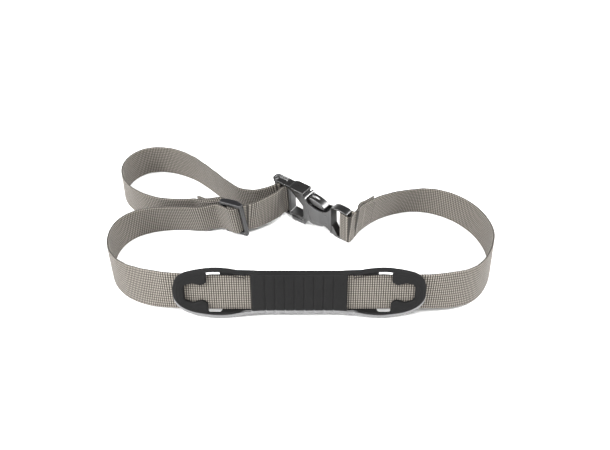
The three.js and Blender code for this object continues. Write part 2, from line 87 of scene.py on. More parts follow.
LONG = (
    [in_fitting(PAD, *p) for p in [(78, 0.3), (58, 0), (0, 0), (-62, 0)]]
    + [on_table(*p) for p in [
        (-84, -99.6, 4.8, 0, 12), (-97, -96.4, 3.2, 2, 15), (-108.5, -90.6, 1.4, 2, 13),
        (-118.5, -83, 0.3, 2, 8),
        (-126.5, -73.5, 0, 1, 4), (-131.8, -62.5, 0, 0, 0), (-135, -50, 0, 0, -2), (-135.2, -37, 0, 0, -4),
        (-132.2, -25.5, 0, 0, -7), (-125.2, -15.8, 0, 0, -9), (-114.5, -9.6, 0, 0, -11),
        (-103, -7, 0, 0, -13),
        (-90, -7.2, 0.6, 0, -14), (-76, -9.4, 1.8, -1, -14)]]
    + [in_fitting(ADJUSTER, a, -front) for a, front in [
        (-11.5, 2.6), (-7.4, 2.6), (-3, 3.4), (0.4, 4.0), (3.2, 3.0), (4.8, 0.6), (5.8, -1.7), (7.6, -2.5)]]
    + [on_table(*p) for p in [
        (-39.0, -10.2, 4.1, -5, -12), (-34.0, -6.9, 3.7, -4, -11), (-27.2, -1.4, 3.7, -3, -9.5),
        (-20.6, 4.4, 4.2, -3, -9)]]
    + [in_fitting(BUCKLE, *p) for p in [
        (12.0, -6.0), (12.9, -2.6), (12.8, -0.3), (12.0, 1.6), (10.6, 2.45), (9.2, 2.35),
        (7.9, 1.3), (7.5, -0.6),
        (6.6, -3.2)]]
    + [on_table(*p) for p in [
        (-27.5, 13.8, 3.2, -2, -10), (-37.5, 13.6, 1.6, -1, -12), (-48.5, 17.6, 1.0, 0, -14),
        (-60, 28, 1, 0, -13), (-70, 40.5, 0.4, 0, -12), (-80, 53, 0, 0, -10), (-91, 64.5, 0, 0, -7),
        (-102, 72.5, 0, 0, -4), (-113, 78, 0, 0, -3), (-124, 80.5, 0, 0, -4), (-134.5, 78.5, 0, 0, -5),
        (-142.5, 71, 0, 1, -5), (-147, 60.5, 0, 2, -4), (-148, 48, 0, 2, -3), (-145.2, 36, 0, 2, -4),
        (-139, 24.8, 0, 1, -6), (-129.5, 14.8, 0, 0, -8), (-118.5, 7.8, 0, 0, -9), (-107, 4.2, 0, 0, -11),
        (-94, 2.4, 0.6, 0, -12), (-81, 0.8, 1.6, -1, -12), (-71.5, -2.4, 2.8, -2, -12)]]
    + [in_fitting(ADJUSTER, a, -front) for a, front in [
        (-11, -2.9), (-7.2, -2.35), (-4.6, -1.9), (-3.0, -0.2), (-2.0, 1.2), (-0.8, 2.15),
        (0.8, 2.15), (2.05, 1.0),
        (2.05, -1.0), (0.8, -2.15), (-1.2, -2.7), (-4, -3.7), (-7.2, -4.3), (-11, -4.9)]]
    + [on_table(*p) for p in [(-70.2, -0.4, 3, -2, -12), (-76, 2.2, 2.4, -1, -12)]]
)

SHORT = (
    [in_fitting(PAD, *p) for p in [(0, 0), (58, 0), (78, 0.3)]]
    + [on_table(*p) for p in [
        (94, -97.6, 3.2, -2, 14), (107, -91.2, 1.2, -2, 13), (116, -82.4, 0.2, -2, 10),
        (123, -71, 0, -2, 7), (128, -58, 0, -1, 5), (130.8, -44, 0, 0, 1), (130.6, -30, 0, 0, -3),
        (127.5, -16, 0, 0, -4), (122, -4.5, 0, 0, -4), (114, 5.6, 0, 0, -6), (104, 13.2, 0, 0, -8),
        (93, 17.6, 0, 0, -11), (82, 18.2, 0, 0, -14), (71, 15.2, 0.2, 0, -15), (60, 8.8, 0.9, 0, -15),
        (50, 0.2, 1.5, -1, -14), (41.2, -10.2, 1.6, -2, -12)]]
    + [in_fitting(BUCKLE, *p) for p in [
        (71.4, -3.7), (68.6, -3.3), (65.9, -3.2), (64.3, -2.8), (63.1, -1.6), (62.75, 0),
        (63.1, 1.6), (64.3, 2.8),
        (65.9, 3.2), (68.6, 3.3), (71.4, 3.6)]]
    + [on_table(*p) for p in [(41.4, -7.2, 1.9, -2, -12), (49.3, 2.2, 2.5, -1, -14)]]
)


class Route:
    """A centripetal Catmull-Rom curve through the stations' lower edges. A position counts stations."""

    def __init__(self, stations):
        self.feet = [s[0] for s in stations]
        self.ups = [s[1] for s in stations]
        self.last = len(stations) - 1
        fine = np.linspace(0, self.last, self.last * 60 + 1)
        points = np.array([self.point(p) for p in fine])
        steps = np.linalg.norm(np.diff(points, axis=0), axis=1)
        self._positions, self._lengths = fine, np.concatenate([[0.0], np.cumsum(steps)])

    def _cubic(self, position):
        i = min(int(position), self.last - 1)
        feet = self.feet
        x0 = feet[i - 1] if i > 0 else 2 * feet[0] - feet[1]
        x1, x2 = feet[i], feet[i + 1]
        x3 = feet[i + 2] if i + 2 <= self.last else 2 * feet[-1] - feet[-2]
        d0, d1, d2 = (math.sqrt((b - a).length) for a, b in ((x0, x1), (x1, x2), (x2, x3)))
        t1 = ((x1 - x0) / d0 - (x2 - x0) / (d0 + d1) + (x2 - x1) / d1) * d1
        t2 = ((x2 - x1) / d1 - (x3 - x1) / (d1 + d2) + (x3 - x2) / d2) * d1
        return position - i, i, (x1, t1, -3 * x1 + 3 * x2 - 2 * t1 - t2, 2 * x1 - 2 * x2 + t1 + t2)

    def point(self, position):
        w, _, (c0, c1, c2, c3) = self._cubic(position)
        return c0 + c1 * w + c2 * w * w + c3 * w * w * w

    def frame_at(self, position):
        w, i, (c0, c1, c2, c3) = self._cubic(position)
        foot = c0 + c1 * w + c2 * w * w + c3 * w * w * w
        tangent = (c1 + 2 * c2 * w + 3 * c3 * w * w).normalized()
        blend = w * w * (3 - 2 * w)
        up = self.ups[i].lerp(self.ups[i + 1], blend)
        up = (up - tangent * up.dot(tangent)).normalized()
        return foot, up, up.cross(tangent), tangent

    def length_at(self, position):
        return float(np.interp(position, self._positions, self._lengths))

    def position_at(self, length):
        return float(np.interp(length, self._lengths, self._positions))


long_route, short_route = Route(LONG), Route(SHORT)


def section():
    """Once round the webbing's cross-section: height, offset sideways and share of the relief."""
    inner = np.arange(1, 2 * WEAVE_ROWS) * (ROW / 2)
    crown = np.where(np.arange(1, 2 * WEAVE_ROWS) % 2 == 1, 1.0, 0.3)
    edge = HALF_THICKNESS * 0.72
    rows = [(0.0, 0.0, 0.0, -1), (0.16, -edge, 0.2, -1)]
    rows += [(v, -HALF_THICKNESS, c, -1) for v, c in zip(inner, crown)]
    rows += [(WIDTH - 0.16, -edge, 0.2, -1), (WIDTH, 0.0, 0.0, 1), (WIDTH - 0.16, edge, 0.2, 1)]
    rows += [(v, HALF_THICKNESS, c, 1) for v, c in zip(inner[::-1], crown[::-1])]
    rows += [(0.16, edge, 0.2, 1)]
    return rows


def ribbon(name, route, start, stop):
    """Webbing between two positions of a route, with its weave standing up in relief."""
    step = WEAVE_PITCH / 4
    first, last = (round(route.length_at(p) / step) for p in (start, stop))
    profile = section()
    points, weave = [], []
    for k in range(first, last + 1):
        length = min(k * step, route.length_at(route.last))
        foot, up, side, _ = route.frame_at(route.position_at(length))
        for height, offset, share, face in profile:
            turn = length / WEAVE_PITCH + (0.5 if face > 0 else 0.0)
            crown = 0.5 + 0.5 * math.cos(2 * math.pi * turn)
            relief = 0.18 * share * (crown - 0.55) * face
            if share < 0.25:                       # the selvedge is drawn in between picks
                height += (0.10 if height < WIDTH / 2 else -0.10) * (1 - crown)
            points.append(foot + up * height + side * (offset + relief))
            weave.append((length + WEAVE_PITCH * (0.5 if face > 0 else 0.0), height, 0.0))
    around, count = len(profile), last - first + 1
    index = np.arange(around * count).reshape(count, around)
    a, b = index[:-1], index[1:]
    quads = np.stack([a, np.roll(a, -1, 1), np.roll(b, -1, 1), b], axis=-1).reshape(-1, 4)
    faces = quads.tolist() + [index[0][::-1].tolist(), index[-1].tolist()]
    mesh = bpy.data.meshes.new(name)
    mesh.from_pydata([tuple(p * MM) for p in points], [], faces)
    attribute = mesh.attributes.new("weave", "FLOAT_VECTOR", "POINT")
    attribute.data.foreach_set("vector", np.array(weave, np.float32).ravel())
    mesh.polygons.foreach_set("use_smooth", [True] * (len(faces) - 2) + [False] * 2)
    mesh.update()
    length = (last - first) * step * MM
    return add_object(name, mesh), length


def add_object(name, mesh, matrix=None):
    obj = bpy.data.objects.new(name, mesh)
    bpy.context.scene.collection.objects.link(obj)
    if matrix is not None:
        mesh.transform(Matrix.Scale(MM, 4) @ matrix)
    return obj


# ---------------------------------------------------------------- solids, in millimetres

def outline(points, steps=5):
    """A closed outline of (x, z) corners, each with an optional radius."""
    result = []
    corners = [(Vector(p[:2]), p[2] if len(p) > 2 else 0.0) for p in points]
    for i, (corner, radius) in enumerate(corners):
        before, after = corners[i - 1][0], corners[(i + 1) % len(corners)][0]
        if radius <= 0:
            result.append(corner)
            continue
        a, b = (before - corner), (after - corner)
        half = a.angle(b) / 2
        reach = min(radius / math.tan(half), 0.49 * a.length, 0.49 * b.length)
        p, q = corner + a.normalized() * reach, corner + b.normalized() * reach
        for k in range(steps + 1):
            t = k / steps
            result.append(p * (1 - t) ** 2 + corner * 2 * t * (1 - t) + q * t * t)
    return result


def smooth_line(points, closed=False, steps=6):
    """Uniform Catmull-Rom samples through points."""
    pts = [Vector(p) for p in points]
    n = len(pts)
    result = []
    for i in range(n if closed else n - 1):
        p0 = pts[i - 1] if closed or i else pts[0]
        p1, p2 = pts[i], pts[(i + 1) % n]
        p3 = pts[(i + 2) % n] if closed or i + 2 < n else pts[-1]
        for k in range(steps):
            t = k / steps
            result.append(0.5 * (2 * p1 + (p2 - p0) * t + (2 * p0 - 5 * p1 + 4 * p2 - p3) * t * t
                                 + (3 * p1 - p0 - 3 * p2 + p3) * t ** 3))
    return result if closed else result + [pts[-1]]


def evaluated(obj):
    """The mesh that an object's modifiers or curve make. The object is removed."""
    bpy.context.view_layer.update()
    mesh = bpy.data.meshes.new_from_object(obj.evaluated_get(bpy.context.evaluated_depsgraph_get()))
    bpy.data.objects.remove(obj)
    return mesh


def tidy(mesh):
    bm = bmesh.new()
    bm.from_mesh(mesh)
    bmesh.ops.remove_doubles(bm, verts=bm.verts, dist=1e-3)
    bmesh.ops.recalc_face_normals(bm, faces=bm.faces)
    bm.to_mesh(mesh)
    bm.free()
    return mesh


def plate(loops, low, high, bevel=0.0):
    """A plate of closed (a, b) loops, the first the outside, from low to high along the third axis."""
    curve = bpy.data.curves.new("plate", "CURVE")
    curve.dimensions, curve.fill_mode = "2D", "BOTH"
    curve.extrude, curve.bevel_depth = (high - low) / 2 - bevel, bevel
    curve.bevel_resolution, curve.offset = 2, -bevel
    for loop in loops:
        spline = curve.splines.new("POLY")
        spline.points.add(len(loop) - 1)
        spline.points.foreach_set("co", [c for p in loop for c in (p[0], p[1], 0.0, 1.0)])
        spline.use_cyclic_u = True
    obj = bpy.data.objects.new("plate", curve)
    bpy.context.scene.collection.objects.link(obj)
    mesh = tidy(evaluated(obj))
    mesh.transform(Matrix.Translation((0, 0, (low + high) / 2)))
    return mesh


FACING = Matrix(((1, 0, 0, 0), (0, 0, -1, 0), (0, 1, 0, 0), (0, 0, 0, 1)))


def slab(loops, y0, y1, bevel=0.0):
    """A plate drawn in x and z, with its thickness along y."""
    mesh = plate(loops, -y1, -y0, bevel)
    mesh.transform(FACING)
    return mesh


def rect(a0, a1, b0, b1, r=0.0):
    return outline([(a0, b0, r), (a1, b0, r), (a1, b1, r), (a0, b1, r)])


def block(x, y, z, bevel=0.0):
    return plate([rect(x[0], x[1], y[0], y[1], bevel)], z[0], z[1], bevel * 0.9)


def rod(path, radius):
    """A round rod along a path of 3-D points."""
    curve = bpy.data.curves.new("rod", "CURVE")
    curve.dimensions, curve.bevel_depth, curve.bevel_resolution = "3D", radius, 3
    curve.use_fill_caps = True
    spline = curve.splines.new("POLY")
    spline.points.add(len(path) - 1)
    spline.points.foreach_set("co", [c for p in path for c in (p[0], p[1], p[2], 1.0)])
    obj = bpy.data.objects.new("rod", curve)
    bpy.context.scene.collection.objects.link(obj)
    return tidy(evaluated(obj))


def ball(centre, radii):
    bm = bmesh.new()
    bmesh.ops.create_icosphere(bm, subdivisions=4, radius=1.0)
    mesh = bpy.data.meshes.new("ball")
    bm.to_mesh(mesh)
    bm.free()
    mesh.transform(Matrix.Translation(centre) @ Matrix.Diagonal((*radii, 1.0)))
    return mesh


def joined(meshes):
    bm = bmesh.new()
    for mesh in meshes:
        bm.from_mesh(mesh)
        bpy.data.meshes.remove(mesh)
    result = bpy.data.meshes.new("joined")
    bm.to_mesh(result)
    bm.free()
    return result


def boolean(mesh, others, operation="DIFFERENCE"):
    for other in others:
        target = add_object("target", mesh)
        tool = add_object("tool", other)
        modifier = target.modifiers.new("boolean", "BOOLEAN")
        modifier.operation, modifier.object, modifier.solver = operation, tool, "MANIFOLD"
        mesh = evaluated(target)
        bpy.data.objects.remove(tool)
    return mesh


def moulded(name, meshes, matrix, voxel=0.25, rounds=3):
    """One moulded piece: the solids fused together, with every corner slightly softened."""
    obj = add_object(name, joined(meshes))
    remesh = obj.modifiers.new("fuse", "REMESH")
    remesh.mode, remesh.voxel_size, remesh.adaptivity = "VOXEL", voxel, 0.0
    soften = obj.modifiers.new("soften", "SMOOTH")
    soften.factor, soften.iterations = 0.5, rounds
    mesh = evaluated(obj)
    mesh.name = name
    mesh.polygons.foreach_set("use_smooth", [True] * len(mesh.polygons))
    return add_object(name, mesh, matrix)


# ---------------------------------------------------------------- grip pad

PAD_END, PAD_TOP, PAD_BOTTOM, PAD_MID = 79.5, 19.2, 18.0, 14.5
FACE, PLATE_BACK, WALL = -3.7, -1.1, (1.1, 2.6)
TUNNEL, TUNNEL_LOW, TUNNEL_HIGH = 49.5, -PAD_MID, 15.4     # half its length, then its walls' outer edges
WAIST = 24                                         # where the pad's edges run level with each other
RIBS, RIB_PITCH, GROOVE = 8, 6.1, 1.1              # ribs across the middle, and the grooves between them
PAINTED_RIM_SHEEN_HEIGHT = 2.9                                 # height above the lower rim of the strip painted lighter as a painted reflection of the floor


def pad_loop(inset=0.0):
    insets = [0, 0.6, 2.6, 6.5, 13, 21, 28, 36, 43]
    top_shares = [0.15, 0.38, 0.61, 0.79, 0.9, 0.975, 1, 0.965, 0.89]
    low_shares = [0.1, 0.3, 0.5, 0.7, 0.865, 0.96, 1, 0.965, 0.89]
    top = [(PAD_END - a, s * PAD_TOP) for a, s in zip(insets, top_shares)] + [(WAIST, PAD_MID)]
    low = [(PAD_END - a, -s * PAD_BOTTOM) for a, s in zip(insets, low_shares)] + [(WAIST, -PAD_MID)]
    mirror = lambda pts: [(-x, z) for x, z in pts]
    points = low[::-1] + top + [(0, PAD_MID)] + mirror(top)[::-1] + mirror(low) + [(0, -PAD_MID)]
    loop = smooth_line(points, closed=True, steps=5)
    return loop if not inset else inward(loop, inset)


def inward(loop, distance):
    """The loop moved inwards; loops here run anticlockwise."""
    result = []
    n = len(loop)
    for i in range(n):
        along = (loop[(i + 1) % n] - loop[i - 1]).normalized()
        result.append(loop[i] + Vector((-along.y, along.x)) * distance)
    return result


def window(sign, grow=0.0):
    """Wide next to the ribs, hooked out above and below, then a rounded keyhole towards the end."""
    g = grow
    corners = [
        (30.2 - g, -13.3 - g, 0.8), (49.2, -13.3 - g, 0.6), (50.9, -14.1 - g, 0.5),
        (57.8 + g, -14.1 - g, 1.0),
        (57.8 + g, -6.9 - g, 1.9), (61.4 + g, -4.6 - g, 1.8), (66.6, -6.4 - g, 2.4),
        (72.5 + g, -5.0 - g, 5.4),
        (72.5 + g, 6.8 + g, 5.4), (66.6, 8.1 + g, 2.4), (61.2 + g, 6.4 + g, 1.8), (57.8 + g, 8.7 + g, 1.7),
        (57.8 + g, 16.7 + g, 1.0), (50.9, 16.7 + g, 0.5), (49.4, 16.3 + g, 0.4), (40, 15.9 + g, 3.0),
        (30.2 - g, 14.4 + g, 0.8)]
    loop = outline([(sign * x, z, r) for x, z, r in corners])
    return loop if sign > 0 else loop[::-1]


def build_pad():
    face = slab([pad_loop()], FACE, PLATE_BACK, 1.28)
    grooves = [
        slab([rect(x - GROOVE / 2, x + GROOVE / 2, -22, 22)], FACE - 1, FACE + 0.65)
        for x in ((i - (RIBS - 1) / 2) * RIB_PITCH for i in range(RIBS))]
    cutters = [slab([window(s)], FACE - 2, PLATE_BACK + 1) for s in (1, -1)]
    # a shallow step round each window
    steps = [slab([window(s, 0.9)], FACE - 2, FACE + 0.45) for s in (1, -1)]
    face = boolean(face, cutters + steps + grooves)
    # two ridges set in from the rim of each rounded end
    ridges = []
    for inset, radius in ((2.3, 0.42), (4.2, 0.34)):
        loop = pad_loop(inset)
        for sign in (1, -1):
            part = [p for p in loop if sign * p.x > 33]
            part.sort(key=lambda p: math.atan2(p.y, sign * p.x - 50))
            ridges.append(rod([(p.x, FACE + 0.12, p.y) for p in part], radius))
    # the tunnel round the webbing: a back wall, and a rail above and below
    back = slab([outline([(-TUNNEL, TUNNEL_LOW, 2), (TUNNEL, TUNNEL_LOW, 2), (TUNNEL, TUNNEL_HIGH, 1),
                          (WAIST, PAD_MID, 6), (-WAIST, PAD_MID, 6), (-TUNNEL, TUNNEL_HIGH, 1)])], *WALL, 0.5)
    upper = [(-TUNNEL, 13.6), (-WAIST, 13.0), (WAIST, 13.0), (TUNNEL, 13.6), (TUNNEL, TUNNEL_HIGH - 0.1),
             (WAIST, PAD_MID - 0.1), (-WAIST, PAD_MID - 0.1), (-TUNNEL, TUNNEL_HIGH - 0.1)]
    rails = [slab([loop], PLATE_BACK - 0.4, WALL[1] - 0.3, 0.1)
             for loop in (outline(upper), rect(-TUNNEL, TUNNEL, TUNNEL_LOW + 0.1, -13.0))]
    pad = moulded("pad_rubber_body", [face, back, *rails, *ridges], PAD, voxel=0.43, rounds=2)
    # a strip along the rounded lower rim under the front face, painted lighter as a painted reflection of the
    # floor
    inverse = PAD.inverted()
    rim = sorted((p.x, p.y) for p in pad_loop() if p.y < 0)
    painted_rim_sheen = []
    for vertex in pad.data.vertices:
        spot = inverse @ (vertex.co / MM)
        above = spot.z - float(np.interp(spot.x, *zip(*rim)))
        painted_rim_sheen.append(min(max((PAINTED_RIM_SHEEN_HEIGHT - above) / 0.4, 0.0), 1.0) if spot.y < PLATE_BACK else 0.0)
    # the edge attribute carries the painted floor reflection on the lower rim
    attribute = pad.data.attributes.new("edge", "FLOAT", "POINT")
    attribute.data.foreach_set("value", painted_rim_sheen)
    return pad


# ---------------------------------------------------------------- adjuster

def build_adjuster():
    slots = [rect(-6.1, -1.1, -13, 13, 0.9), rect(1.1, 6.7, -13, 13, 0.9)]
    body = slab([rect(-8.9, 9.9, -15.9, 15.9, 3.4), *slots], -1.35, 1.35, 0.9)
    bow = outline([(-8.7, -2.2, 0.6), (9.6, -2.2, 0.6), (9.6, 1.4, 0.8), (4.6, 3.2, 3), (-4.2, 3.2, 3),
                   (-8.7, 1.4, 0.8)])
    rails = [plate([bow], *z, 0.8) for z in ((13.1, 15.9), (-15.9, -13.1))]
    bars = [rod([(x, y, -14.2), (x, y, 14.2)], r)
            for x, y, r in ((-7.4, 0, 1.35), (0, 0, 1.1), (8.2, -0.1, 1.5))]
    return moulded("adjuster_body", [body, *rails, *bars], ADJUSTER, voxel=0.22, rounds=3)


# ---------------------------------------------------------------- buckle

SEAM, BULGE = 31.4, 3.6


def seam(half, offset, sign=1, steps=12):
    """The line where the two halves meet, from one edge to the other."""
    u = SEAM + offset
    ends = [Vector((u, sign * half)), Vector((u + BULGE * 1.3, sign * half * 0.5)),
            Vector((u + BULGE * 1.3, -sign * half * 0.5)), Vector((u, -sign * half))]
    result = []
    for k in range(steps + 1):
        t = k / steps
        result.append(ends[0] * (1 - t) ** 3 + ends[1] * 3 * t * (1 - t) ** 2
                      + ends[2] * 3 * t * t * (1 - t) + ends[3] * t ** 3)
    return result


def build_male():
    tail = [(-0.3, -1.9, 0.4), (2.4, -4.1, 0.4), (19.0, -4.1, 0.6), (19.0, 4.1, 0.6), (2.0, 4.1, 0.4),
            (-0.3, 2.2, 0.4)]
    shoulder = [(17.6, -4.2, 0.5), (20.2, -5.3, 0.6), (31.3, -5.3, 0.5), (31.3, 5.3, 0.5), (20.2, 5.3, 0.6),
                (17.6, 4.2, 0.5)]
    pocket = outline([(1.5, -1.7, 0.4), (3.0, -3.1, 0.4), (12.2, -3.1, 0.5), (12.2, 3.1, 0.5),
                      (2.8, 3.1, 0.4), (1.5, 1.9, 0.4)])
    solids = []
    for sign in (1, -1):
        z = lambda a, b: (sign * a, sign * b) if sign > 0 else (sign * b, sign * a)
        rail = plate([outline(tail)], *z(12.9, 14.9), 0.35)
        solids.append(boolean(rail, [plate([pocket], *z(13.6, 16.0))]))
        solids.append(rod([(3.4, 2.5, sign * 13.8), (11.6, 2.5, sign * 13.8)], 0.75))
        solids.append(ball((2.4, -0.4, sign * 13.4), (1.1, 1.8, 0.9)))
        solids.append(plate([outline(shoulder)], *z(12.7, 15.5), 0.3))
    opening = outline([(16.6, -10.8, 0.8), (28.4, -10.8, 1.0), (29.6, -9.0, 0.6), (29.6, 1.4, 1.0),
                       (17.8, 12.6, 0.8), (16.6, 12.6, 0.5)])
    front = [Vector((16.0, 13.2)), Vector((16.0, -13.2))] + seam(12.9, 0.0, -1)
    web = slab([front, opening[::-1]], -4.1, 4.1, 0.5)
    slots = [block((30.8, 37), (-3.7, 3.7), (6.6, 10.1)), block((30.8, 37), (-3.7, 3.7), (-10.1, -6.6))]
    solids.append(boolean(web, slots))
    solids.append(block((0.6, 4.4), (-2.2, 2.2), (-13.2, 13.2), 1.2))
    solids.append(rod([(10, 0, -13.2), (10, 0, 13.2)], 1.5))
    solids.append(block((14.6, 16.8), (-3.0, 3.0), (-13.2, 13.2), 0.9))
    solids.append(block((31.0, 49.0), (-3.0, 3.0), (-3.4, 3.4), 0.6))
    return moulded("buckle_male_body", solids, BUCKLE, voxel=0.22, rounds=2)


def build_prong(name, sign):
    root = [(31.0, 7.5), (31.0, 9.75)]
    tip = [(38.0, 7.4), (43.0, 7.0), (48.0, 6.6), (49.7, 7.2), (49.4, 8.6), (47.2, 10.4), (43.6, 11.9),
           (39.5, 12.8), (36.4, 12.9), (34.9, 11.9), (34.4, 10.0)]
    loop = [Vector((x, sign * z)) for x, z in [root[0], *smooth_line(tip, steps=4), root[1]]]
    body = slab([loop if sign > 0 else loop[::-1]], -3.6, 3.6, 0.6)
    dish = ball((42.0, -0.8, sign * 16.6), (8.6, 2.9, 5.2))
    return moulded(name, [boolean(body, [dish])], BUCKLE, voxel=0.16, rounds=2)


def build_female():
    edge = [(32.0, 12.9), (33.4, 12.2), (34.9, 10.4), (36.8, 8.4), (40.0, 6.9), (44.0, 6.2), (48.5, 6.4),
            (52.2, 7.9),
            (54.6, 10.4), (56.4, 12.9), (59.4, 14.2), (63.0, 14.4), (67.0, 14.0), (69.8, 12.9), (70.6, 11.4)]
    side_line = lambda s: smooth_line([(u, s * v) for u, v in edge])
    loop = seam(12.9, 0.45, 1) + side_line(-1) + side_line(1)[::-1]
    shape = slab([loop[::-1]], -7, 7)
    side = outline([(30.5, -5.8, 0.3), (46.5, -5.8, 6.0), (54.0, -4.6, 3.0), (57.0, -3.1, 2.0),
                    (70.9, -3.4, 3.0),
                    (70.9, 3.4, 3.0), (57.0, 3.1, 2.0), (54.0, 4.6, 3.0), (46.5, 5.8, 6.0), (30.5, 5.8, 0.3)])
    shape = boolean(shape, [plate([side], -16, 16)], "INTERSECT")
    cavity = [
        block((30.0, 35.4), (-4.1, 4.1), (-10.4, 10.4), 0.5),
        block((33.8, 52.0), (-4.1, 4.1), (-20, 20), 0.5),
        block((56.0, 73.0), (-6, 6), (-12.95, 12.95), 0.8),
    ]
    panel = smooth_line([(36.6, 2.5), (36.9, -2.0), (38.4, -5.6), (41.6, -8.2), (46.5, -9.2)])
    groove = rod([(p.x, -5.85, p.y) for p in panel], 0.42)
    shape = boolean(shape, cavity + [groove])
    webs = [block((39, 52.5), (-5.2, 5.2), z) for z in ((3.8, 4.6), (-4.6, -3.8))]
    bar = block((63.8, 69.4), (-2.2, 2.2), (-13.4, 13.4), 2.0)
    gusset = slab([outline([(54, -13.2), (61.2, -13.2), (56.4, -4.5, 0.8), (54, -4.5)])], -3.0, 3.0, 0.3)
    return moulded("buckle_female_body", [shape, *webs, bar, gusset], BUCKLE, voxel=0.22, rounds=2)


# ---------------------------------------------------------------- stitching

def stitch_box(name, route, start, stop, sideways):
    """Two rows of stitches across the webbing and two along it, sunk a little into its face."""
    bm = bmesh.new()
    lengths = [route.length_at(p) for p in (start, stop)]
    rows = [(length, v, "up") for length in lengths for v in np.arange(2.4, 23.0, 1.9)]
    rows += [(length, v, "along") for v in (2.2, 23.2)
             for length in np.arange(min(lengths) + 0.9, max(lengths) - 0.5, 1.9)]
    for length, v, direction in rows:
        foot, up, side, tangent = route.frame_at(route.position_at(length))
        axis = up if direction == "up" else tangent
        middle = foot + up * v + side * sideways
        turn = Matrix((axis, side, axis.cross(side))).transposed().to_4x4()
        shape = Matrix.Translation(middle) @ turn @ Matrix.Diagonal((0.95, 0.3, 0.36, 1.0))
        bmesh.ops.create_icosphere(bm, subdivisions=2, radius=1.0, matrix=Matrix.Scale(MM, 4) @ shape)
    mesh = bpy.data.meshes.new(name)
    bm.to_mesh(mesh)
    bm.free()
    mesh.polygons.foreach_set("use_smooth", [True] * len(mesh.polygons))
    return add_object(name, mesh)


# ---------------------------------------------------------------- materials

class Nodes:
    """Small helper for building a material or world's node tree."""

    def __init__(self, tree):
        self.tree = tree
        tree.nodes.clear()

    def add(self, kind, inputs=None, **settings):
        node = self.tree.nodes.new(kind)
        for key, value in settings.items():
            setattr(node, key, value)
        for key, value in (inputs or {}).items():
            self.plug(node, key, value)
        return node

    def plug(self, node, key, value):
        if isinstance(value, bpy.types.NodeSocket):
            self.tree.links.new(value, node.inputs[key])
        else:
            node.inputs[key].default_value = value

    def math(self, operation, a, b=0.0, c=0.0):
        node = self.add("ShaderNodeMath", {0: a, 1: b, 2: c}, operation=operation)
        return node.outputs[0]

    def noise(self, vector, scale, detail=3.0, roughness=0.5):
        node = self.add("ShaderNodeTexNoise", {"Vector": vector, "Scale": scale, "Detail": detail,
                                              "Roughness": roughness})
        return node.outputs["Fac"]

    def mix(self, factor, a, b):
        node = self.add("ShaderNodeMix", data_type="RGBA")
        for index, value in ((0, factor), (6, a), (7, b)):
            self.plug(node, index, value)
        return node.outputs[2]


def new_material(name):
    material = bpy.data.materials.new(name)
    material.use_nodes = True
    return material, Nodes(material.node_tree)


def finish_material(n, material, preview, **inputs):
    principled = n.add("ShaderNodeBsdfPrincipled", {k.replace("_", " "): v for k, v in inputs.items()})
    n.add("ShaderNodeOutputMaterial", {"Surface": principled.outputs[0]})
    material.diffuse_color = (*preview, 1.0)
    return material


WEB_LIGHT = (0.225, 0.204, 0.178, 1)
# painted shade: near-black colour for the hollows between the weave's crowns, where shade falls
WEB_CREVICE_SHADE = (0.006, 0.0050, 0.0042, 1)


def webbing_material():
    material, n = new_material("webbing_weave")
    weave = n.add("ShaderNodeAttribute", attribute_name="weave").outputs["Vector"]
    split = n.add("ShaderNodeSeparateXYZ", {0: weave})
    along, across = split.outputs[0], split.outputs[1]
    row = n.math("DIVIDE", across, ROW)
    turn = n.math("DIVIDE", along, WEAVE_PITCH)
    crown = n.math("MULTIPLY_ADD", n.math("COSINE", n.math("MULTIPLY", turn, 2 * math.pi)), 0.5, 0.5)
    lane = n.math("ABSOLUTE", n.math("SINE", n.math("MULTIPLY", row, math.pi)))
    pebble = n.math("MULTIPLY", n.math("POWER", crown, 0.8), n.math("POWER", lane, 0.6))
    place = n.add("ShaderNodeTexCoord").outputs["Object"]
    stretched = n.add("ShaderNodeVectorMath", {0: weave, 1: (1.4, 7.0, 1.0)}, operation="MULTIPLY").outputs[0]
    fibre = n.noise(stretched, 1.0, 4.0, 0.6)
    patch = n.noise(place, 55.0, 3.0, 0.6)
    crevice_shade = n.mix(patch, WEB_CREVICE_SHADE, tuple(c * 1.12 for c in WEB_CREVICE_SHADE))
    light = n.mix(patch, tuple(c * 0.92 for c in WEB_LIGHT), tuple(c * 1.06 for c in WEB_LIGHT))
    # the weave's crowns take the yarn colour and its hollows the painted shade
    ramp = n.add("ShaderNodeMapRange", {"Value": pebble, "From Min": 0.22, "From Max": 0.74},
                 interpolation_type="SMOOTHSTEP").outputs[0]
    colour = n.mix(ramp, crevice_shade, light)
    colour = n.mix(n.math("MULTIPLY", fibre, 0.35), colour, tuple(c * 0.6 for c in WEB_LIGHT))
    height = n.math("ADD", n.math("MULTIPLY", pebble, 0.7), n.math("MULTIPLY", fibre, 0.3))
    bump = n.add("ShaderNodeBump", {"Height": height, "Strength": 0.7, "Distance": 0.00018}).outputs[0]
    return finish_material(n, material, (0.52, 0.49, 0.45), Base_Color=colour, Roughness=0.86,
                           Specular_IOR_Level=0.18, Normal=bump, Sheen_Weight=0.08)


def thread_material():
    material, n = new_material("sewing_thread")
    place = n.add("ShaderNodeTexCoord").outputs["Object"]
    twist = n.noise(place, 2600.0, 2.0)
    colour = n.mix(twist, (0.10, 0.088, 0.078, 1), (0.20, 0.18, 0.165, 1))
    bump = n.add("ShaderNodeBump", {"Height": twist, "Strength": 0.5, "Distance": 0.00008}).outputs[0]
    return finish_material(n, material, (0.47, 0.44, 0.40), Base_Color=colour, Roughness=0.7, Normal=bump)


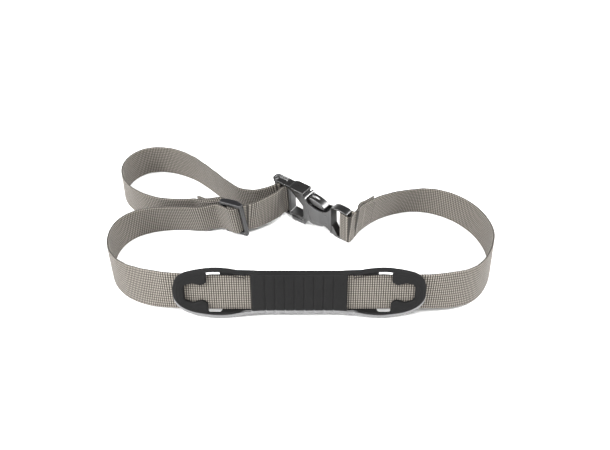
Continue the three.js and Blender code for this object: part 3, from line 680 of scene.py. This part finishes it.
def rubber_material():
    material, n = new_material("pad_rubber")
    place = n.add("ShaderNodeTexCoord").outputs["Object"]
    grain = n.noise(place, 2300.0, 2.0, 0.6)
    patch = n.noise(place, 60.0, 3.0, 0.6)
    colour = n.mix(patch, (0.0040, 0.0040, 0.0042, 1), (0.0072, 0.0071, 0.0072, 1))
    edge = n.add("ShaderNodeAttribute", attribute_name="edge").outputs["Fac"]
    # painted reflection: the edge strip along the lower rim is painted light grey as if it mirrored the
    # floor; its lower roughness and higher specular are real gloss
    colour = n.mix(edge, colour, (0.12, 0.12, 0.122, 1))
    rough = n.math("MULTIPLY_ADD", edge, -0.3, n.math("MULTIPLY_ADD", patch, 0.14, 0.62))
    bump = n.add("ShaderNodeBump", {"Height": grain, "Strength": 0.35, "Distance": 0.00006}).outputs[0]
    return finish_material(n, material, (0.035, 0.035, 0.037), Base_Color=colour, Roughness=rough,
                           Normal=bump, Specular_IOR_Level=n.math("MULTIPLY_ADD", edge, 0.5, 0.13))


def plastic_material(name, low, high, roughness, specular):
    material, n = new_material(name)
    place = n.add("ShaderNodeTexCoord").outputs["Object"]
    grain = n.noise(place, 1700.0, 2.0, 0.6)
    patch = n.noise(place, 140.0, 4.0, 0.65)
    colour = n.mix(patch, (*low, 1), (*high, 1))
    rough = n.math("MULTIPLY_ADD", patch, 0.16, roughness - 0.08)
    bump = n.add("ShaderNodeBump", {"Height": grain, "Strength": 0.22, "Distance": 0.00004}).outputs[0]
    return finish_material(n, material, low, Base_Color=colour, Roughness=rough, Specular_IOR_Level=specular,
                           Normal=bump)


def floor_material():
    material, n = new_material("paper_floor")
    place = n.add("ShaderNodeTexCoord").outputs["Object"]
    fleck = n.noise(place, 3.0, 3.0)
    colour = n.mix(fleck, (0.88, 0.88, 0.875, 1), (0.90, 0.90, 0.90, 1))
    return finish_material(n, material, (0.9, 0.9, 0.9), Base_Color=colour, Roughness=0.9,
                           Specular_IOR_Level=0.1)


# ---------------------------------------------------------------- the pieces

web = webbing_material()
thread = thread_material()
rubber = rubber_material()
gloss = plastic_material("buckle_acetal", (0.0035, 0.0033, 0.0033), (0.0060, 0.0057, 0.0057), 0.30, 1.0)
satin = plastic_material("adjuster_acetal", (0.0036, 0.0034, 0.0042), (0.0060, 0.0057, 0.0068), 0.40, 0.5)


def dress(obj, material):
    obj.data.materials.clear()
    obj.data.materials.append(material)


def row(x, y, z=0.0):
    """A layout point in millimetres, in the row frame."""
    return (Vector((x, y, z)) - CENTRE) * MM


SLOT_STOP, BIGHT_STOP, LOOP_STOP = 23.5, 35.0, 52.0
SLANT = Vector((0.42, 1.0))
near_span = tuple(row(*(SLANT * (reach / SLANT.length_squared))) for reach in (-62, -42))
runs = [
    ("webbing_near_side", long_route, 2, SLOT_STOP,
     ["webbing_pad_run", "webbing_near_loop", "webbing_adjuster_run"], ("strap", "adjuster", near_span)),
    ("webbing_to_buckle", long_route, SLOT_STOP, BIGHT_STOP,
     ["webbing_buckle_bight"], ("adjuster", "strap", (row(-40, -14), row(-22, 2)))),
    ("webbing_spare_loop", long_route, BIGHT_STOP, LOOP_STOP,
     ["webbing_far_loop"], ("strap", None, None)),
    ("webbing_return_side", long_route, LOOP_STOP, long_route.last,
     ["webbing_return_run", "webbing_adjuster_end"], ("strap", "adjuster", (row(-118, 10), row(-80, 10)))),
]
for name, route, start, stop, nodes, (first, second, span) in runs:
    piece, length = ribbon(name, route, start, stop)
    dress(piece, web)
    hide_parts(*nodes)
    if second is None:
        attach(piece, first)
    else:
        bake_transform(piece)

# the pad's middle, the right-hand arc and the end that is sewn round the buckle's rear bar
right, right_length = ribbon("webbing_buckle_side", short_route, 0, short_route.last)
dress(right, web)
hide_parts("webbing_right_arc", "webbing_buckle_end")
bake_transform(right)

for make, material, slot, body, nodes in [
    (build_pad, rubber, "pad_rubber", "pad", ["grip_pad"]),
    (build_adjuster, satin, "adjuster_plastic", "adjuster", ["adjuster"]),
    (build_male, gloss, "buckle_plastic", "strap", ["buckle_male"]),
    (lambda: build_prong("prong_upper_body", 1),
    gloss, "buckle_plastic", "prong_upper", ["buckle_prong_upper"]),
    (lambda: build_prong("prong_lower_body", -1),
    gloss, "buckle_plastic", "prong_lower", ["buckle_prong_lower"]),
    (build_female, gloss, "buckle_plastic", "buckle_female", ["buckle_female"]),
]:
    piece = make()
    dress(piece, material)
    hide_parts(*nodes)
    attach(piece, body)

SUNK = HALF_THICKNESS + 0.05                        # how far a stitch's middle is from the webbing's
for name, route, start, stop, offset, body, node in [
    ("stitches_adjuster", long_route, 59.7, 61.2, -SUNK, "adjuster", "stitching_adjuster"),
    ("stitches_buckle", short_route, 18.1, 18.9, SUNK, "buckle_female", "stitching_buckle"),
]:
    piece = stitch_box(name, route, start, stop, offset)
    dress(piece, thread)
    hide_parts(node)
    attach(piece, body)

# ---------------------------------------------------------------- room, light and camera

floor_mesh = bpy.data.meshes.new("floor")
FLOOR = 6.0                                        # half its side, in metres
floor_corners = [(x * FLOOR, y * FLOOR, 0) for x, y in ((-1, -1), (1, -1), (1, 1), (-1, 1))]
floor_mesh.from_pydata(floor_corners, [], [(0, 1, 2, 3)])
floor = add_object("floor", floor_mesh)
floor.data.materials.append(floor_material())


def softbox(name, place, aim, size, watts):
    light = bpy.data.lights.new(name, "AREA")
    light.shape, light.size, light.size_y, light.energy = "RECTANGLE", size[0], size[1], watts
    obj = bpy.data.objects.new(name, light)
    bpy.context.scene.collection.objects.link(obj)
    obj.location = place
    obj.rotation_euler = (Vector(aim) - Vector(place)).to_track_quat("-Z", "Y").to_euler()


softbox("softbox_left", (-0.95, -0.55, 0.80), (0, 0, 0), (0.8, 0.6), 30.0)
softbox("softbox_right", (1.0, 0.0, 0.75), (0, 0, 0), (0.4, 0.7), 20.0)
softbox("softbox_front", (0.0, -1.15, 1.9), (0, 0, 0), (1.6, 0.9), 58.0)

world = bpy.data.worlds.new("studio")
bpy.context.scene.world = world
world.use_nodes = True
n = Nodes(world.node_tree)
height = n.add("ShaderNodeSeparateXYZ", {0: n.add("ShaderNodeTexCoord").outputs["Generated"]}).outputs[2]
sky = n.add("ShaderNodeMapRange", {"Value": height, "From Min": 0.12, "From Max": 0.6,
                                   "To Min": 2.0, "To Max": 0.16})
background = n.add("ShaderNodeBackground", {"Color": (1, 1, 1, 1), "Strength": sky.outputs[0]})
n.add("ShaderNodeOutputWorld", {"Surface": background.outputs[0]})

camera = bpy.data.cameras.new("camera")
camera.sensor_width, camera.lens = 36.0, 38.60
camera_object = bpy.data.objects.new("camera", camera)
bpy.context.scene.collection.objects.link(camera_object)
camera_object.location = (0.0085, -0.40073, 0.289)
camera_object.rotation_euler = (math.radians(55), 0, 0)
bpy.context.scene.camera = camera_object
bpy.context.scene.view_settings.view_transform = "Standard"
